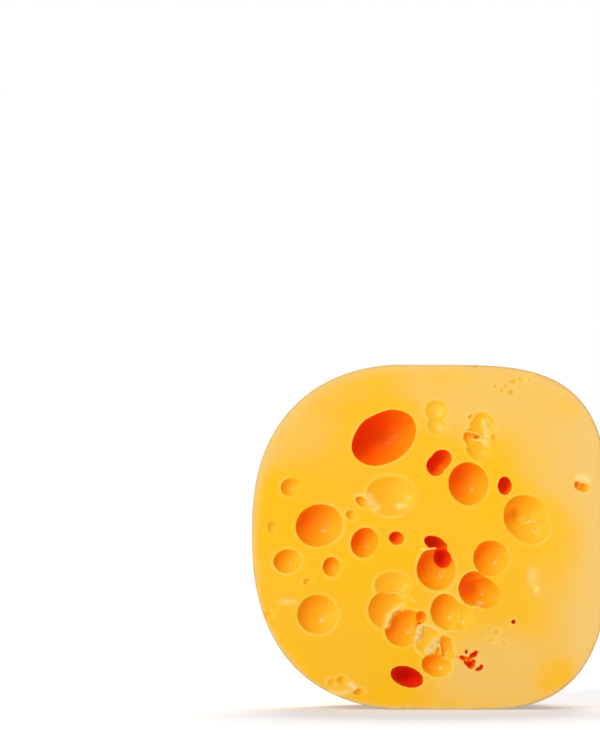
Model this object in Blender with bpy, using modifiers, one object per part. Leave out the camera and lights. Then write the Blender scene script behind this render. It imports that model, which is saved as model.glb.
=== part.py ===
"""A wedge of holey yellow cheese, cut from a wheel, with its thin end trimmed round.

The wheel lay flat: its underside is at Z 0, and its axis stands upright to the left of the wedge.
One cut face is square to Y and looks along -Y. The other is turned about the wheel's axis by the
wedge's angle. The thin end is trimmed to a round, straight through along Y.
The eyes, which are the gas holes in the cheese, are open hollows in the cut faces.
"""

import math
import random
from collections import namedtuple

import bmesh
import bpy
from mathutils import Matrix, Vector, noise

MM = 0.001

# The wheel and the wedge cut from it, in metres.
WHEEL_RADIUS = 0.180
WHEEL_HEIGHT = 0.120
WEDGE_ANGLE = math.radians(30)
HALF_LENGTH = 0.062
AXIS_X = HALF_LENGTH - WHEEL_RADIUS
FRONT_Y = -WHEEL_RADIUS * math.sin(WEDGE_ANGLE) / 2
RIM_STEPS = 144
CORNER_STEPS = 14

# Each corner of the front outline is a quarter of a superellipse: centre, half sizes and exponent.
Corner = namedtuple("Corner", "x z half_width half_height exponent")
TOP_RIM = Corner(0.004, 0.062, 0.058, 0.058, 3.3)
BOTTOM_RIM = Corner(0.014, 0.058, 0.048, 0.0583, 2.85)
TOP_TRIM = Corner(-0.004, 0.061, HALF_LENGTH - 0.004, 0.0593, 2.4)
BOTTOM_TRIM = Corner(-0.004, 0.061, HALF_LENGTH - 0.004, 0.0613, 2.4)
CUTTER_REACH = 0.040

# An eye is part of an uneven ellipsoid. The sizes are those of its mouth in the cut face, in
# millimetres, and its tilt is in degrees. Swell is how far the hollow's middle lies behind the
# face, as a share of its depth: below 0 it is a shallow cup, above 0 it widens behind its mouth.
Eye = namedtuple("Eye", "x z half_width half_height depth tilt swell")
FRONT_EYES = (
    Eye(-16.0, 94.5, 11.9, 8.8, 12.0, 25, 0.15),
    Eye(2.4, 104.1, 3.9, 3.6, 1.5, 0, -0.5),
    Eye(2.5, 99.0, 3.3, 3.1, 1.4, 0, -0.5),
    Eye(18.4, 98.6, 4.4, 5.2, 2.4, 20, -0.4),
    Eye(15.2, 94.6, 2.9, 3.2, 3.0, 0, -0.2),
    Eye(16.6, 90.6, 4.4, 3.4, 2.6, -15, -0.4),
    Eye(3.9, 87.2, 4.0, 3.2, 6.5, 45, 0.25),
    Eye(2.0, 83.6, 2.7, 2.8, 5.5, 0, 0.2),
    Eye(13.4, 78.6, 6.8, 7.4, 7.0, 10, 0.0),
    Eye(26.1, 77.8, 2.3, 3.1, 6.5, 0, 0.3),
    Eye(53.6, 77.2, 1.9, 1.6, 2.2, 20, -0.1),
    Eye(51.2, 77.9, 1.2, 1.5, 2.6, 0, 0.0),
    Eye(33.4, 66.1, 8.3, 8.6, 3.8, -30, -0.45),
    Eye(30.9, 68.0, 4.4, 4.9, 5.4, 0, -0.2),
    Eye(21.3, 52.6, 6.1, 6.1, 4.8, 0, -0.15),
    Eye(14.7, 41.6, 6.0, 6.3, 6.4, 0, -0.05),
    Eye(20.2, 40.4, 4.9, 4.4, 4.6, -10, -0.1),
    Eye(2.2, 48.8, 6.8, 7.4, 6.2, 10, -0.05),
    Eye(4.7, 52.7, 3.2, 3.7, 10.0, 20, 0.1),
    Eye(2.1, 57.6, 4.2, 2.4, 7.5, -25, 0.1),
    Eye(-13.6, 74.4, 8.7, 7.0, 2.4, -5, -0.6),
    Eye(-24.7, 72.9, 2.1, 1.7, 1.8, -40, -0.2),
    Eye(-13.6, 45.1, 6.4, 4.6, 1.9, 0, -0.6),
    Eye(-14.3, 36.6, 6.7, 6.6, 3.2, 0, -0.4),
    Eye(-8.7, 28.3, 7.0, 6.0, 5.0, 30, -0.15),
    Eye(-3.4, 32.0, 1.7, 2.2, 6.0, -20, 0.0),
    Eye(5.2, 34.3, 5.9, 6.3, 4.2, 15, -0.25),
    Eye(10.4, 32.2, 4.3, 4.7, 1.8, 0, -0.5),
    Eye(-0.4, 24.5, 4.9, 5.4, 1.7, 0, -0.6),
    Eye(2.1, 15.8, 4.9, 3.8, 4.0, -15, -0.2),
    Eye(5.6, 20.7, 3.4, 3.9, 2.8, 20, -0.3),
    Eye(-8.0, 11.4, 5.8, 3.4, 7.5, -17, 0.2),
    Eye(11.7, 18.4, 2.0, 1.5, 3.6, -30, 0.1),
    Eye(14.6, 15.9, 2.4, 1.4, 4.0, -25, 0.1),
    Eye(18.2, 13.7, 1.6, 1.0, 3.0, 35, 0.1),
    Eye(15.8, 19.2, 0.9, 1.5, 3.0, -30, 0.1),
    Eye(-39.1, 33.1, 7.0, 6.8, 4.2, 0, -0.3),
    Eye(-56.6, 32.6, 2.3, 1.3, 1.4, 10, -0.2),
    Eye(-34.0, 9.5, 1.5, 1.2, 1.2, 0, -0.2),
    Eye(-30.7, 10.0, 1.8, 1.5, 1.6, 0, -0.2),
    Eye(-23.4, 6.9, 2.4, 1.2, 2.0, 5, -0.1),
    Eye(25.0, 111.2, 1.0, 0.9, 0.9, 0, -0.2),
    Eye(26.6, 112.6, 0.9, 0.8, 0.9, 0, -0.2),
    Eye(28.4, 110.4, 0.9, 0.8, 1.0, 0, -0.2),
    Eye(29.9, 114.3, 1.3, 0.8, 1.0, 25, -0.2),
    Eye(23.4, 26.9, 1.0, 0.9, 1.2, 0, 0.0),
    Eye(25.9, 23.2, 0.8, 0.7, 1.0, 0, 0.0),
    Eye(-38.5, 64.0, 8.2, 7.2, 6.0, 15, -0.1),
    Eye(-22.8, 58.0, 4.6, 5.2, 5.0, -20, 0.0),
    Eye(-49.6, 51.6, 4.8, 4.1, 3.4, 10, -0.25),
    Eye(-34.2, 49.6, 3.0, 3.4, 3.0, 0, -0.1),
    Eye(-48.4, 77.4, 3.6, 3.0, 2.6, 25, -0.3),
    Eye(-11.6, 59.6, 2.6, 2.2, 3.8, -15, 0.1),
    Eye(-54.8, 63.4, 1.6, 2.0, 1.4, 0, -0.3),
    Eye(-27.4, 67.6, 1.9, 1.5, 1.5, -30, -0.3),
    Eye(-42.6, 44.4, 1.4, 1.1, 1.1, 0, -0.3),
)

# Eyes in the hidden cut face: their mouths' radii in millimetres, placed in turn by a seeded rule.
BACK_EYE_RADII = (9.6, 8.2, 7.4, 6.8, 6.4, 6.0, 5.6, 5.0, 4.6, 4.0, 3.4, 2.8, 2.4, 2.0, 1.6)
BACK_RIM_MARGIN = 0.010
BACK_EYE_SPACING = 0.0015
BACK_SEED = 12

# The eyes outside the front face are a little lower than wide, and shallower than half a ball.
PLAIN_EYE_HEIGHT = 0.93
PLAIN_EYE_SWELL = -0.2
BACK_EYE_DEPTH = 0.75

# How uneven an eye is, and its mesh by size: (radius from which it holds, segments, rings).
EYE_UNEVENNESS = 0.09
EYE_WAVES = 1.3
EYE_WAVE_SPREAD = 180.0
EYE_MESHES = ((5.5 * MM, 18, 10), (2.6 * MM, 14, 8), (0.0, 8, 6))
WELD_DISTANCE = 0.00001

CHEESE_COLOR = (0.93, 0.52, 0.03)
CHEESE_ROUGHNESS = 0.42


def clear_scene():
    for obj in list(bpy.data.objects):
        bpy.data.objects.remove(obj, do_unlink=True)


def new_collection(name, is_helper=False):
    collection = bpy.data.collections.new(name)
    bpy.context.scene.collection.children.link(collection)
    collection.hide_render = is_helper
    return collection


def new_material(name, color, roughness):
    material = bpy.data.materials.new(name)
    material.use_nodes = True
    shader = material.node_tree.nodes["Principled BSDF"]
    shader.inputs["Base Color"].default_value = (*color, 1.0)
    shader.inputs["Roughness"].default_value = roughness
    shader.inputs["Metallic"].default_value = 0.0
    return material


def as_helper(obj):
    obj.hide_render = True
    obj.display_type = "WIRE"
    return obj


def corner_points(corner, side, first, last):
    """Points on a quarter superellipse. Angle 0 is level with its centre and 90 right above or below
    it, up for a positive angle. Side is 1 for a corner on the right and -1 on the left."""
    points = []
    for step in range(CORNER_STEPS + 1):
        angle = math.radians(first + (last - first) * step / CORNER_STEPS)
        power = 2 / corner.exponent
        across = abs(math.cos(angle)) ** power
        up = math.copysign(abs(math.sin(angle)) ** power, angle)
        points.append(
            Vector((corner.x + side * corner.half_width * across, corner.z + corner.half_height * up))
        )
    return points


def rim_profile():
    """The wheel's section from the axis at its top, down the rim, to the axis at its underside."""
    top = corner_points(TOP_RIM, 1, 90, 0)
    bottom = corner_points(BOTTOM_RIM, 1, 0, -90)
    ring = [p for p in top + bottom if p.y > 0]
    return [
        Vector((AXIS_X, WHEEL_HEIGHT)),
        *ring,
        Vector((base_edge_x(), 0.0)),
        Vector((AXIS_X, 0.0)),
    ]


def base_edge_x():
    """Where the rim's lower curve meets the flat underside."""
    share = (BOTTOM_RIM.z / BOTTOM_RIM.half_height) ** BOTTOM_RIM.exponent
    return BOTTOM_RIM.x + BOTTOM_RIM.half_width * (1 - share) ** (1 / BOTTOM_RIM.exponent)


def make_wheel(collection):
    """The whole wheel: its section turned about its axis."""
    mesh = bpy.data.meshes.new("cheese")
    outline = [(p.x - AXIS_X, 0.0, p.y) for p in rim_profile()]
    mesh.from_pydata(outline, [(i, i + 1) for i in range(len(outline) - 1)], [])
    wheel = bpy.data.objects.new("cheese", mesh)
    wheel.location = (AXIS_X, FRONT_Y, 0.0)
    collection.objects.link(wheel)
    turn = wheel.modifiers.new("turn", "SCREW")
    turn.steps = turn.render_steps = RIM_STEPS
    turn.use_merge_vertices = True
    turn.merge_threshold = WELD_DISTANCE
    return wheel


def flat_cutter(name, outline, collection):
    """An outline in XZ made as thick as the wheel is wide, along Y, and turned into a mesh."""
    curve = bpy.data.curves.new(name, "CURVE")
    curve.dimensions = "2D"
    curve.fill_mode = "BOTH"
    curve.extrude = WHEEL_RADIUS
    spline = curve.splines.new("POLY")
    spline.points.add(len(outline) - 1)
    for point, place in zip(spline.points, outline):
        point.co = (place[0], place[1], 0.0, 1.0)
    spline.use_cyclic_u = True
    drawn = bpy.data.objects.new(name + "_outline", curve)
    drawn.rotation_euler = (math.radians(90), 0.0, 0.0)
    collection.objects.link(drawn)
    return mesh_of_curve(drawn, name, collection)


def mesh_of_curve(drawn, name, collection):
    bpy.context.view_layer.update()
    graph = bpy.context.evaluated_depsgraph_get()
    mesh = bpy.data.meshes.new_from_object(drawn.evaluated_get(graph))
    welded = bmesh.new()
    welded.from_mesh(mesh)
    bmesh.ops.remove_doubles(welded, verts=welded.verts, dist=WELD_DISTANCE)
    bmesh.ops.recalc_face_normals(welded, faces=welded.faces)
    welded.to_mesh(mesh)
    welded.free()
    solid = bpy.data.objects.new(name, mesh)
    solid.matrix_world = drawn.matrix_world
    collection.objects.link(solid)
    bpy.data.objects.remove(drawn)
    return as_helper(solid)


def sector_cutter(collection):
    """The slice of the wheel between the two cut faces, as a block that is a triangle from above."""
    reach = 2 * WHEEL_RADIUS
    corners = (
        (0.0, 0.0),
        (reach, 0.0),
        (reach * math.cos(WEDGE_ANGLE), reach * math.sin(WEDGE_ANGLE)),
    )
    sector = bpy.data.objects.new("sector", bpy.data.meshes.new("sector"))
    block = bmesh.new()
    face = block.faces.new([block.verts.new((x, y, -CUTTER_REACH)) for x, y in corners])
    raised = bmesh.ops.extrude_face_region(block, geom=[face])
    lifted = [v for v in raised["geom"] if isinstance(v, bmesh.types.BMVert)]
    bmesh.ops.translate(block, verts=lifted, vec=(0, 0, WHEEL_HEIGHT + 2 * CUTTER_REACH))
    bmesh.ops.recalc_face_normals(block, faces=block.faces)
    block.to_mesh(sector.data)
    block.free()
    sector.location = (AXIS_X, FRONT_Y, 0.0)
    collection.objects.link(sector)
    return as_helper(sector)


def trim_outline():
    """What is cut away on the left: everything outside the round end."""
    left = AXIS_X - CUTTER_REACH
    above = WHEEL_HEIGHT + CUTTER_REACH
    lower = corner_points(BOTTOM_TRIM, -1, -90, 0)
    upper = corner_points(TOP_TRIM, -1, 0, 90)
    return [
        Vector((TOP_TRIM.x, above)),
        Vector((left, above)),
        Vector((left, -CUTTER_REACH)),
        Vector((BOTTOM_TRIM.x, -CUTTER_REACH)),
        *lower,
        *upper[1:],
    ]


def eye_cutter(name, mouth, face, collection):
    """One eye's hollow. Face is a matrix whose origin is the mouth's middle, whose X and Z lie in
    the cut face and whose Y points into the cheese. Mouth has its half sizes, depth and swell."""
    half_width, half_height, depth, swell = mouth
    size = max(half_width, half_height)
    segments, rings = next((s, r) for least, s, r in EYE_MESHES if size > least)
    spread = 1 / math.sqrt(1 - swell * swell)
    reach = depth / (1 + swell)
    ball = bmesh.new()
    bmesh.ops.create_uvsphere(ball, u_segments=segments, v_segments=rings, radius=1.0)
    bmesh.ops.rotate(ball, verts=ball.verts, matrix=Matrix.Rotation(math.radians(90), 3, "X"))
    shape = Matrix.Diagonal((half_width * spread, reach, half_height * spread, 1.0))
    middle = Vector((0.0, swell * reach, 0.0))
    offset = face.translation * EYE_WAVE_SPREAD
    for vert in ball.verts:
        vert.co *= 1 + EYE_UNEVENNESS * noise.noise(vert.co * EYE_WAVES + offset)
        vert.co = face @ (shape @ vert.co + middle)
    mesh = bpy.data.meshes.new(name)
    ball.to_mesh(mesh)
    ball.free()
    cutter = bpy.data.objects.new(name, mesh)
    collection.objects.link(cutter)
    return as_helper(cutter)


def front_face(x, z, tilt):
    """A mouth's place in the front cut face."""
    return Matrix.Translation((x, FRONT_Y, z)) @ Matrix.Rotation(-math.radians(tilt), 4, "Y")


def back_face(along, z):
    """A mouth's place in the hidden cut face, at a distance from the wheel's axis."""
    axis = Matrix.Translation((AXIS_X, FRONT_Y, 0.0)) @ Matrix.Rotation(WEDGE_ANGLE, 4, "Z")
    return axis @ Matrix.Translation((along, 0.0, z)) @ Matrix.Rotation(math.pi, 4, "Z")


def outline_gap(x, z):
    """Roughly how far a point of the XZ plane lies inside the cheese's outline."""
    right, top = x > 0, z > WHEEL_HEIGHT / 2
    corner = {(1, 1): TOP_RIM, (1, 0): BOTTOM_RIM, (0, 1): TOP_TRIM, (0, 0): BOTTOM_TRIM}[(right, top)]
    across = max(0.0, (x - corner.x) * (1 if right else -1)) / corner.half_width
    up = abs(z - corner.z) / corner.half_height
    level = (across**corner.exponent + up**corner.exponent) ** (1 / corner.exponent)
    return (1 - level) * min(corner.half_width, corner.half_height)


def back_eyes():
    """(distance from the axis, height, mouth radius) of each eye in the hidden cut face."""
    draw = random.Random(BACK_SEED)
    placed = []
    while len(placed) < len(BACK_EYE_RADII):
        radius = BACK_EYE_RADII[len(placed)] * MM
        x = draw.uniform(-HALF_LENGTH, HALF_LENGTH * math.cos(WEDGE_ANGLE))
        z = draw.uniform(0.0, WHEEL_HEIGHT)
        along = (x - AXIS_X) / math.cos(WEDGE_ANGLE)
        clear = all(
            math.hypot(along - a, z - h) > radius + r + BACK_EYE_SPACING for a, h, r in placed
        )
        in_face = outline_gap(along + AXIS_X, z) > radius + BACK_RIM_MARGIN
        if clear and in_face:
            placed.append((along, z, radius))
    return placed


def make_eyes(collection):
    for index, eye in enumerate(FRONT_EYES):
        mouth = (eye.half_width * MM, eye.half_height * MM, eye.depth * MM, eye.swell)
        face = front_face(eye.x * MM, eye.z * MM, eye.tilt)
        eye_cutter(f"front_eye_{index}", mouth, face, collection)
    for index, (along, z, radius) in enumerate(back_eyes()):
        mouth = (radius, radius * PLAIN_EYE_HEIGHT, radius * BACK_EYE_DEPTH, PLAIN_EYE_SWELL)
        eye_cutter(f"back_eye_{index}", mouth, back_face(along, z), collection)


def cut(target, name, operation, cutter=None, group=None):
    boolean = target.modifiers.new(name, "BOOLEAN")
    boolean.operation = operation
    boolean.solver = "EXACT"
    if group is None:
        boolean.object = cutter
    else:
        boolean.operand_type = "COLLECTION"
        boolean.collection = group


def main():
    clear_scene()
    parts = new_collection("cheese_wedge")
    cutters = new_collection("cutters", is_helper=True)
    eyes = new_collection("eyes", is_helper=True)
    cheese = make_wheel(parts)
    cheese.data.materials.append(new_material("cheese", CHEESE_COLOR, CHEESE_ROUGHNESS))
    cut(cheese, "between_the_cuts", "INTERSECT", cutter=sector_cutter(cutters))
    cut(cheese, "round_end", "DIFFERENCE", cutter=flat_cutter("trim", trim_outline(), cutters))
    make_eyes(eyes)
    cut(cheese, "eyes", "DIFFERENCE", group=eyes)


main()
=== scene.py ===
"""The looks of a wedge of holey yellow cheese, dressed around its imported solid. Metres, +Z up."""

import math
import random
from collections import namedtuple

import bmesh
import bpy
import numpy as np
from mathutils import Euler, Matrix, Vector


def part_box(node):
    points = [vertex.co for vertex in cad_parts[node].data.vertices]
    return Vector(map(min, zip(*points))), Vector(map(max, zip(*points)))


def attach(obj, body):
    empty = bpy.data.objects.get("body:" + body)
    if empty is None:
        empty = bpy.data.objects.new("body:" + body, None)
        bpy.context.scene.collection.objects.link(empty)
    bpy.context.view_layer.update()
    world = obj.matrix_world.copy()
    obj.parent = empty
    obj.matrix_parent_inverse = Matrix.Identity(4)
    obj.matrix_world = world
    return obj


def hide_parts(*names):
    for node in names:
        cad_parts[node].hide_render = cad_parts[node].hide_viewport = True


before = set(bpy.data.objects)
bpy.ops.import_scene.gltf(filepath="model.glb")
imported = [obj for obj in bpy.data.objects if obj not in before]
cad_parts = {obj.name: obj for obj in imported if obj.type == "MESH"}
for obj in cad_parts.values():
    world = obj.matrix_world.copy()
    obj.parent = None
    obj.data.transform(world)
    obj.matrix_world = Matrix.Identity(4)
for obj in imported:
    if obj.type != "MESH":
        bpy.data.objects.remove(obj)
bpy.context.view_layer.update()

# The paste: curd that was pressed and ripened for weeks, firm, smooth and a little translucent. It is
# a warm yellow that dries paler towards the rind. The walls of its eyes are painted from orange to deep
# red and given a glow: painted shade and painted glow for light that has passed through the cheese.
MM = 0.001


def linear(red, green, blue):
    """A screen colour, given as 0 to 255, as the linear colour that a shader takes."""
    shares = [value / 255 for value in (red, green, blue)]
    return (*[s / 12.92 if s <= 0.04045 else ((s + 0.055) / 1.055) ** 2.4 for s in shares], 1.0)


CORE_YELLOW = linear(247, 190, 40)
DEEP_YELLOW = linear(249, 191, 24)
PALE_YELLOW = linear(239, 199, 113)
LIP_YELLOW = linear(250, 206, 92)
TORN_AND_GLINT_YELLOW = linear(250, 211, 116)
TORN_WHITE = linear(254, 218, 172)
OUTLINE_TAN = linear(212, 182, 122)
RIND_TAN = linear(216, 168, 86)
# Brown just inside the mouths of the redder eyes: painted shade under their lips.
RIM_SHADE_BROWN = linear(150, 66, 4)
# Red-brown of the spots where eyes go deepest: painted shade.
SHADE_BROWN = linear(188, 78, 4)
CLOUD_SCALE = 22.0
PATCH_SCALE = 75.0
SKIN_SCALE = 160.0
GRAIN_SCALE = 900.0
# Emission of the eyes' walls: painted glow for light that has passed through the cheese.
PAINTED_WALL_GLOW = 0.18
PASTE_GLOSS = 0.12
LIGHT_REACH = 3.0 * MM
LIGHT_COLORS = (1.0, 0.42, 0.08)
# Eye wall colours from yellow to deep red: painted shade and painted glow, set deeper down each eye.
WALL_SHADE_TONES = (
    (0.0, linear(245, 190, 44)),
    (0.2, linear(243, 173, 24)),
    (0.4, linear(241, 150, 6)),
    (0.6, linear(238, 117, 0)),
    (0.8, linear(232, 70, 0)),
    (1.0, linear(206, 16, 0)),
)


class Value:
    """A socket of a node tree. Python's operators on it add the tree's Math nodes."""

    def __init__(self, tree, socket):
        self.tree = tree
        self.socket = socket

    def math(self, operation, *values):
        return self.tree.node("ShaderNodeMath", {"operation": operation}, dict(enumerate(values)))

    def sine(self):
        return self.math("SINE", self)

    def __add__(self, other):
        return self.math("ADD", self, other)

    def __sub__(self, other):
        return self.math("SUBTRACT", self, other)

    def __rsub__(self, other):
        return self.math("SUBTRACT", other, self)

    def __mul__(self, other):
        return self.math("MULTIPLY", self, other)

    __radd__ = __add__
    __rmul__ = __mul__


class Tree:
    """A material's or a Geometry Nodes tree, with one method that adds any node."""

    def __init__(self, node_tree):
        self.nodes = node_tree.nodes
        self.links = node_tree.links

    def node(self, kind, settings=None, inputs=None, output=0):
        """Adds a node. Settings go on the node, a ramp's stops among them, and inputs are values or
        links for its sockets, by name or number. Gives back one of its outputs."""
        made = self.nodes.new(kind)
        for name, value in (settings or {}).items():
            if name == "stops":
                self.set_stops(made.color_ramp.elements, value)
            else:
                setattr(made, name, value)
        for key, value in (inputs or {}).items():
            if isinstance(value, Value):
                self.links.new(value.socket, made.inputs[key])
            else:
                made.inputs[key].default_value = value
        return Value(self, made.outputs[output]) if made.outputs else None

    def set_stops(self, elements, stops):
        while len(elements) < len(stops):
            elements.new(1.0)
        for element, (place, color) in zip(elements, stops):
            element.position = place
            element.color = color


class Shade(Tree):
    """A material's tree, with short forms of the nodes that its colours are mixed from."""

    def attribute(self, name):
        return self.node("ShaderNodeAttribute", {"attribute_name": name}, output=2)

    def axis(self, name):
        """One of the point's own coordinates, in metres."""
        place = self.node("ShaderNodeTexCoord", output=3)
        return self.node("ShaderNodeSeparateXYZ", None, {0: place}, output="XYZ".index(name))

    def mix(self, factor, first, second):
        """A blend of two colours."""
        colors = {0: factor, 6: first, 7: second}
        return self.node("ShaderNodeMix", {"data_type": "RGBA"}, colors, output=2)

    def noise(self, scale, detail=2.0, distortion=0.0, stretch=(1.0, 1.0, 1.0)):
        place = self.node("ShaderNodeTexCoord", output=3)
        place = self.node("ShaderNodeVectorMath", {"operation": "MULTIPLY"}, {0: place, 1: stretch})
        values = {"Vector": place, "Scale": scale, "Detail": detail, "Distortion": distortion}
        return self.node("ShaderNodeTexNoise", None, values)

    def step(self, value, low, high, out_low=0.0, out_high=1.0):
        """A smooth step of a value from low to high."""
        ends = {0: value, 1: low, 2: high, 3: out_low, 4: out_high}
        return self.node("ShaderNodeMapRange", {"interpolation_type": "SMOOTHSTEP"}, ends)


def new_material(name):
    material = bpy.data.materials.new(name)
    material.use_nodes = True
    material.node_tree.nodes.clear()
    return material, Shade(material.node_tree)


def paste_material():
    """Reads the cheese's own attributes: depths in mm inside the uncut wedge, its outline and the
    wheel, and from 0 to 1 an eye's tone of painted shade, its lip, its spots of painted shade, torn cheese
    with a few painted highlights among its pale spots, and dried pale cheese."""
    material, shade = new_material("ripened_yellow_cheese")
    hollow = shade.attribute("hollow_mm")
    inside = shade.step(hollow, 0.1, 0.45)
    clouds = shade.noise(CLOUD_SCALE, 2.0, 0.4)
    patches = shade.noise(PATCH_SCALE, 3.0)
    grain = shade.noise(GRAIN_SCALE)
    skin = shade.noise(SKIN_SCALE, 3.0, 0.3, (1.0, 1.0, 0.35))

    pale = shade.attribute("pale") + (clouds - 0.5) * 0.4 + (patches - 0.5) * 0.25
    face = shade.mix(shade.step(clouds, 0.4, 0.62), DEEP_YELLOW, CORE_YELLOW)
    face = shade.mix(shade.step(pale, 0.05, 1.0), face, PALE_YELLOW)
    face = shade.mix(shade.attribute("lip") * shade.step(patches, 0.3, 0.7) * 0.7, face, LIP_YELLOW)
    front_edge = shade.step(shade.axis("Y"), FRONT_Y + 1.5 * MM, FRONT_Y + 0.5 * MM)
    # A darker tan line along the outline, mostly at the front face.
    at_outline = shade.step(shade.attribute("outline_mm"), 0.9, 0.2)
    face = shade.mix(at_outline * (front_edge * 0.6 + patches * 0.4), face, OUTLINE_TAN)
    rind = shade.step(shade.attribute("wheel_mm"), 0.35, 0.1)
    face = shade.mix(rind * shade.step(skin, 0.3, 0.7, 0.55, 1.0), face, RIND_TAN)

    tone = shade.attribute("tone")
    shaded_wall = shade.node("ShaderNodeValToRGB", {"stops": WALL_SHADE_TONES}, {0: tone + (patches - 0.5) * 0.06})
    # A brown band just inside each redder eye's mouth: painted shade under its lip.
    rim_shade = shade.step(hollow, 1.0, 0.3) * shade.step(tone, 0.2, 0.5) * 0.3
    shaded_wall = shade.mix(rim_shade, shaded_wall, RIM_SHADE_BROWN)
    torn = shade.attribute("torn")
    # Torn cheese pale yellow to white; at the pale spots that are painted highlights, the pale yellow is a
    # painted highlight.
    color = shade.mix(shade.step(torn, 0.0, 0.5), shade.mix(inside, face, shaded_wall), TORN_AND_GLINT_YELLOW)
    color = shade.mix(shade.step(torn, 0.5, 1.0), color, TORN_WHITE)
    # Painted shade where the eyes go deepest.
    color = shade.mix(shade.attribute("dark"), color, SHADE_BROWN)
    # The eyes' walls glow in their own colour: painted glow, not a lamp.
    painted_glow = shade.mix(inside * (1 - torn) * shade.step(tone, 0.0, 0.7, 0.5, 1.0), linear(0, 0, 0), shaded_wall)

    roughness = (grain - 0.5) * 0.1 + rind * 0.15 + inside * 0.35 + 0.45
    relief = grain + patches * 0.5 + skin * rind * 3 + torn * grain * 4
    bump = shade.node("ShaderNodeBump", None, {"Strength": 0.25, "Distance": 0.1 * MM, "Height": relief})
    shader = shade.node(
        "ShaderNodeBsdfPrincipled",
        {"subsurface_method": "RANDOM_WALK"},
        {
            "Base Color": color,
            "Roughness": roughness,
            "Normal": bump,
            "Emission Color": painted_glow,
            "Emission Strength": PAINTED_WALL_GLOW,
            "Coat Weight": inside * (1 - torn) * shade.step(tone, 0.1, 0.8, 0.5, 0.05),
            "Coat Roughness": 0.2,
            "Coat IOR": 1.4,
            "Subsurface Weight": 0.35,
            "Subsurface Radius": LIGHT_COLORS,
            "Subsurface Scale": LIGHT_REACH,
            "IOR": 1.45,
            "Specular IOR Level": PASTE_GLOSS,
        },
    )
    shade.node("ShaderNodeOutputMaterial", None, {"Surface": shader})
    return material


# The wedge before its eyes are cut: a slice of a wheel that was pressed, salted and ripened, with
# two wire-cut faces. Its section is turned about the wheel's axis, the slice between the two cuts
# is kept, and the thin end is trimmed round.
CHEESE_LOW, CHEESE_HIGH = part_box("cheese")
WHEEL_RADIUS = 180 * MM
WEDGE_ANGLE = math.radians(30)
WHEEL_HEIGHT = CHEESE_HIGH.z
HALF_LENGTH = CHEESE_HIGH.x
FRONT_Y = CHEESE_LOW.y
AXIS_X = HALF_LENGTH - WHEEL_RADIUS
TURN_STEPS = 360
WELD_DISTANCE = 0.01 * MM
CORNER_STEPS = 40
CUTTER_REACH = 40 * MM

Corner = namedtuple("Corner", "x z half_width half_height exponent")
TOP_RIM = Corner(0.004, 0.062, 0.058, 0.058, 3.3)
BOTTOM_RIM = Corner(0.014, 0.058, 0.048, 0.0583, 2.85)
TOP_TRIM = Corner(-0.004, 0.061, HALF_LENGTH - 0.004, 0.0593, 2.4)
BOTTOM_TRIM = Corner(-0.004, 0.061, HALF_LENGTH - 0.004, 0.0613, 2.4)


def corner_points(corner, side, first, last):
    """Points on a quarter superellipse, from one angle to another, on its right or left side."""
    points = []
    for step in range(CORNER_STEPS + 1):
        angle = math.radians(first + (last - first) * step / CORNER_STEPS)
        across = abs(math.cos(angle)) ** (2 / corner.exponent)
        up = math.copysign(abs(math.sin(angle)) ** (2 / corner.exponent), angle)
        points.append((corner.x + side * corner.half_width * across, corner.z + corner.half_height * up))
    return points


def new_object(name, mesh):
    made = bpy.data.objects.new(name, mesh)
    bpy.context.scene.collection.objects.link(made)
    return made


def turned_wheel():
    """The whole wheel, from its section turned about its upright axis."""
    rim = corner_points(TOP_RIM, 1, 90, 0) + corner_points(BOTTOM_RIM, 1, 0, -90)[1:]
    section = [(AXIS_X, WHEEL_HEIGHT), *[p for p in rim if p[1] > 0], (BOTTOM_RIM.x, 0.0), (AXIS_X, 0.0)]
    mesh = bpy.data.meshes.new("wheel")
    edges = [(i, i + 1) for i in range(len(section) - 1)]
    mesh.from_pydata([(x - AXIS_X, 0.0, z) for x, z in section], edges, [])
    wheel = new_object("wheel", mesh)
    wheel.location = (AXIS_X, FRONT_Y, 0.0)
    turn = wheel.modifiers.new("turn", "SCREW")
    turn.steps = turn.render_steps = TURN_STEPS
    turn.use_merge_vertices = True
    turn.merge_threshold = WELD_DISTANCE
    return wheel


def block(name, corners, height_axis, low, high):
    """A flat outline made thick from low to high along Y or Z."""
    solid = bmesh.new()
    places = [(a, b, low) if height_axis == "Z" else (a, low, b) for a, b in corners]
    face = solid.faces.new([solid.verts.new(place) for place in places])
    raised = bmesh.ops.extrude_face_region(solid, geom=[face])
    lifted = [v for v in raised["geom"] if isinstance(v, bmesh.types.BMVert)]
    lift = (0, 0, high - low) if height_axis == "Z" else (0, high - low, 0)
    bmesh.ops.translate(solid, verts=lifted, vec=lift)
    bmesh.ops.triangulate(solid, faces=solid.faces)
    bmesh.ops.recalc_face_normals(solid, faces=solid.faces)
    mesh = bpy.data.meshes.new(name)
    solid.to_mesh(mesh)
    solid.free()
    return new_object(name, mesh)


def cut(target, operation, cutter, solver="EXACT"):
    boolean = target.modifiers.new(operation.lower(), "BOOLEAN")
    boolean.operation = operation
    boolean.solver = solver
    boolean.object = cutter


def baked_mesh(obj):
    """The object's evaluated mesh, in world space."""
    bpy.context.view_layer.update()
    graph = bpy.context.evaluated_depsgraph_get()
    mesh = bpy.data.meshes.new_from_object(obj.evaluated_get(graph))
    mesh.transform(obj.matrix_world)
    return mesh


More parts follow.
